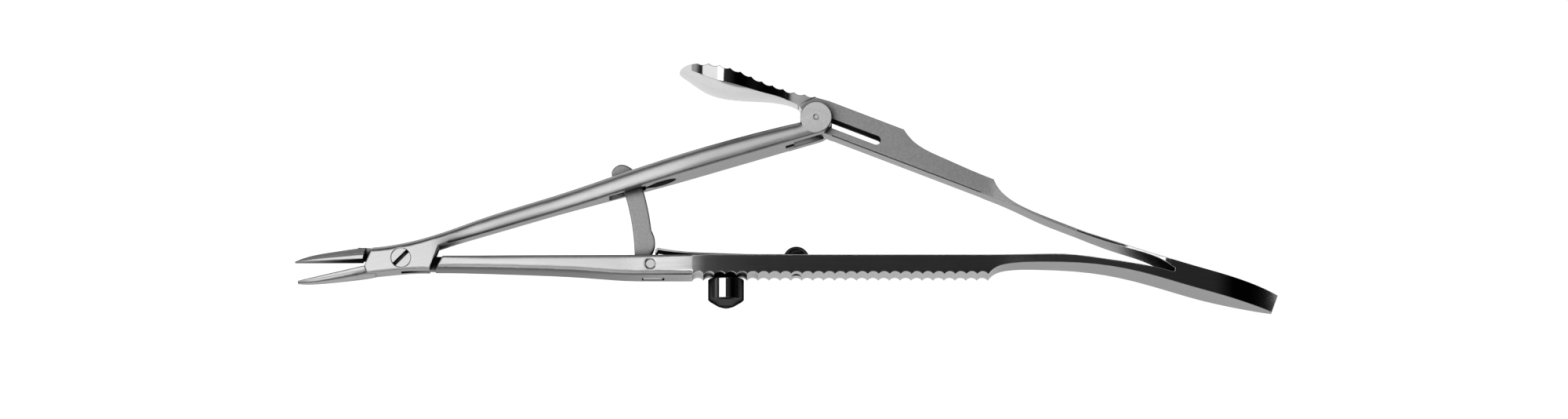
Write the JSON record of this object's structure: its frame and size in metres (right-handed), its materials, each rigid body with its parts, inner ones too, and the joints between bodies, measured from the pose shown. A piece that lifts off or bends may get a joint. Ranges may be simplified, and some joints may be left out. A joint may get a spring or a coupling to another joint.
{
  "type": "surgical needle holder",
  "caption": "Sprung surgical needle holder with a box joint, narrow jaws, a dished thumb lever, a serrated handle and a catch released by a button.",
  "frame": {"origin": "on the axis of the box joint, at the back face of the box", "axes": "+X from the joint along the handle to the tail, +Y towards the thumb lever, +Z across the arms, out of the front face of the box"},
  "size_m": [0.1356, 0.034, 0.0126],
  "materials": {
    "satin_steel": "satin",
    "spring_steel": "satin",
    "polished_steel": "polished"
  },
  "bodies": {
    "handle": {"handle_arm": "satin_steel", "tongue_pin": "satin_steel", "spring_screw": "polished_steel"},
    "jaw": {"jaw_arm": "satin_steel", "joint_screw": "satin_steel", "lever_pin": "satin_steel", "catch_blade": "satin_steel", "blade_pin": "satin_steel"},
    "lever": {"thumb_lever": "satin_steel"},
    "tongue": {"catch_tongue": "satin_steel"},
    "leaf": {"release_spring": "spring_steel"},
    "button": {"release_button": "polished_steel"}
  },
  "joints": [
    {"name": "jaw_hinge", "type": "hinge", "parent": "handle", "child": "jaw", "pos_m": [0, 0, 0.0022], "axis": [0, 0, 1], "range_deg": [-10, 0], "stiffness_Nm_per_rad": 1.5},
    {"name": "lever_flex", "type": "hinge", "parent": "handle", "child": "lever", "pos_m": [0.0929, 0.00386, 0.0022], "axis": [0, 0, 1], "range_deg": [0, 14.85]},
    {"name": "button_press", "type": "slide", "parent": "handle", "child": "button", "axis": [0, 1, 0], "range_m": [0, 0.00025], "stiffness_N_per_m": 2000},
    {"name": "spring_lift", "type": "hinge", "parent": "handle", "child": "leaf", "pos_m": [0.056, 0.00033, 0.0022], "axis": [0, 0, 1], "range_deg": [-1.3, 0], "stiffness_Nm_per_rad": 0.2},
    {"name": "tongue_swing", "type": "hinge", "parent": "handle", "child": "tongue", "pos_m": [0.0344, -0.00095, 0.0022], "axis": [0, 0, 1], "range_deg": [0, 5], "stiffness_Nm_per_rad": 0.02}
  ],
  "couplings": [
    {"joint": "lever_flex", "follows": "jaw_hinge", "ratio": -1.482},
    {"joint": "spring_lift", "follows": "button_press", "rad_per_m": -89.3},
    {"joint": "tongue_swing", "follows": "button_press", "rad_per_m": 349}
  ]
}
